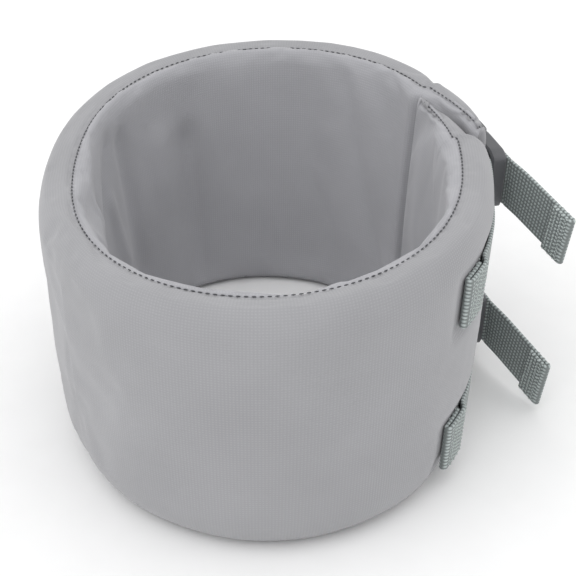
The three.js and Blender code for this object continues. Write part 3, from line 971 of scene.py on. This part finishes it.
def seam_places(span):
    """Where the running stitches of the rim's seam lie over a stretch of the band."""
    side = "left" if span == "left" else "right"
    places = []
    start, end = SPANS[span]
    push = STITCH_RISE - sizes().groove

    def seam(b):
        t, z, nt, nz = section(side, b)[0][-1]
        return to_row(wall_point(b, t + nt * push, z + nz * push))

    a = start + 0.5
    while a < end - 0.5:
        along = (seam(a + 0.2) - seam(a - 0.2)).normalized()
        _, _, nt, nz = section(side, a)[0][-1]
        radial = Vector((cos(a), sin(a), 0))
        out = (radial * -nt + Vector((0, 0, nz))).normalized()
        out = (out - along * out.dot(along)).normalized()
        places.append((seam(a), along, out))
        a += math.degrees(sizes().stitch_pitch / (wall_radius(a) * (1 + FLARE) - WALL / 2))
    return places


def hem_places(route, start, end):
    """Rows of stitches through a folded hem, on both its faces, from start to end along the route."""
    line = dense(route, 0.4)
    lengths = [0.0]
    for p, q in zip(line, line[1:]):
        lengths.append(lengths[-1] + (q.at - p.at).length)
    places = []
    for row, wanted in enumerate(spread(start, end, round((end - start) / HEM_ROW))):
        i = min(range(len(line) - 1), key=lambda k: abs(lengths[k] - wanted))
        q, along = line[i], (line[i + 1].at - line[i].at).normalized()
        for x in spread(HEM_MARGIN - WEB / 2, WEB / 2 - HEM_MARGIN, HEM_COLUMNS):
            shift = 0.4 if row % 2 else -0.4
            for way, depth in ((1, WEB_THICK / 2 + 0.08), (-1, WEB_THICK * 1.5 + FOLD_GAP + 0.08)):
                at = to_row(q.at + q.across * (x + shift) + q.out * way * depth)
                places.append((at, along, q.out * way))
    return places


class COLLAR_OT_stitching(bpy.types.Operator):
    """Adds the running stitches of the rim's seam and of the straps' hems"""
    bl_idname = "collar.stitching"
    bl_label = "Stitching"

    def execute(self, context):
        for span in SPANS:
            bm = bmesh.new()
            stitch_row(bm, seam_places(span), *RIM_STITCH)
            piece = finished(f"seam_stitches_{span}", bm, finish_of("thread"))
            attach(piece, span)
        for place, z in STRAPS.items():
            folded_under = math.radians(HEM) * wall_radius(STRAP_END) + 3
            for name, route, start, end, body in (
                    ("hem", strap_route(z), folded_under, 2 * folded_under - 5, "left_half"),
                    ("tail_hem", tail_route(z), TAIL - TAIL_HEM + 1, TAIL - 1, f"{place}_tail")):
                bm = bmesh.new()
                stitch_row(bm, hem_places(route, start, end), *HEM_STITCH)
                piece = finished(f"{place}_{name}_stitches", bm, finish_of("web_thread"))
                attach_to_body(piece, body)
        return {"FINISHED"}


class COLLAR_OT_buckles(bpy.types.Operator):
    """Gives the buckles' moulded pieces their finish and soft edges"""
    bl_idname = "collar.buckles"
    bl_label = "Buckles"

    def execute(self, context):
        for name, node in frame["nodes"].items():
            if "buckle" in name:
                node.data.materials.clear()
                node.data.materials.append(finish_of("acetal"))
                weld = node.modifiers.new("weld", "WELD")
                weld.merge_threshold = 0.01 * MM
                soft = node.modifiers.new("edges", "BEVEL")
                soft.width = EDGE * MM
                soft.segments = 3
                soft.limit_method = "ANGLE"
                soft.angle_limit = math.radians(EDGE_ANGLE)
        return {"FINISHED"}


class COLLAR_OT_stage(bpy.types.Operator):
    """Adds the backdrop, the soft lights and the camera"""
    bl_idname = "collar.stage"
    bl_label = "Stage"

    def execute(self, context):
        bm = bmesh.new()
        bmesh.ops.create_grid(bm, x_segments=2, y_segments=2, size=FLOOR)
        floor = finished("backdrop", bm, paper_white("Matt backdrop paper"))
        world = bpy.data.worlds.new("studio")
        world.use_nodes = True
        light = world.node_tree.nodes["Background"].inputs
        light["Color"].default_value = (1, 1, 1, 1)
        light["Strength"].default_value = SKY
        context.scene.world = world
        context.scene.view_settings.view_transform = "Standard"
        for name, at, size, power in LAMPS:
            data = bpy.data.lights.new(name, "AREA")
            data.size = size
            data.energy = power
            lamp = bpy.data.objects.new(name, data)
            lamp.location = at
            to_ring = Vector((0, 0, 0.05)) - Vector(at)
            lamp.rotation_euler = to_ring.to_track_quat("-Z", "Y").to_euler()
            context.scene.collection.objects.link(lamp)
        data = bpy.data.cameras.new("camera")
        data.sensor_width = 36
        data.lens = LENS
        data.shift_x, data.shift_y = SHIFT
        data.clip_start = 0.01
        camera = bpy.data.objects.new("camera", data)
        level = cos(CAMERA_RISE)
        back = Vector((sin(CAMERA_SIDE) * level, -cos(CAMERA_SIDE) * level, sin(CAMERA_RISE)))
        target = to_row(Vector((0, 0, HEIGHT / 2)))
        camera.location = target + back * CAMERA_OFF * MM
        camera.rotation_euler = (-back).to_track_quat("-Z", "Y").to_euler()
        context.scene.collection.objects.link(camera)
        context.scene.camera = camera
        return {"FINISHED"}


class COLLAR_PT_panel(bpy.types.Panel):
    """Lists the collar's sizes, colours and building steps"""
    bl_idname = "COLLAR_PT_panel"
    bl_label = "Cervical collar"
    bl_space_type = "VIEW_3D"
    bl_region_type = "UI"
    bl_category = "Collar"

    def draw(self, context):
        for group in (context.scene.collar_sizes, context.scene.collar_colours):
            for key in group.__annotations__:
                self.layout.prop(group, key)
        for step in STEPS:
            self.layout.operator(step.bl_idname)


STEPS = (COLLAR_OT_stage, COLLAR_OT_cover, COLLAR_OT_lining, COLLAR_OT_foam, COLLAR_OT_bindings,
         COLLAR_OT_straps, COLLAR_OT_stitching, COLLAR_OT_buckles)
CLASSES = (Sizes, Colours, *STEPS, COLLAR_PT_panel)


def register():
    for cls in CLASSES:
        bpy.utils.register_class(cls)
    bpy.types.Scene.collar_sizes = bpy.props.PointerProperty(type=Sizes)
    bpy.types.Scene.collar_colours = bpy.props.PointerProperty(type=Colours)


def unregister():
    del bpy.types.Scene.collar_colours
    del bpy.types.Scene.collar_sizes
    for cls in reversed(CLASSES):
        bpy.utils.unregister_class(cls)


def main():
    register()
    bpy.ops.collar.stage()
    bpy.ops.collar.cover()
    bpy.ops.collar.lining()
    bpy.ops.collar.foam()
    bpy.ops.collar.bindings()
    bpy.ops.collar.straps()
    bpy.ops.collar.stitching()
    bpy.ops.collar.buckles()


if __name__ == "__main__":
    main()
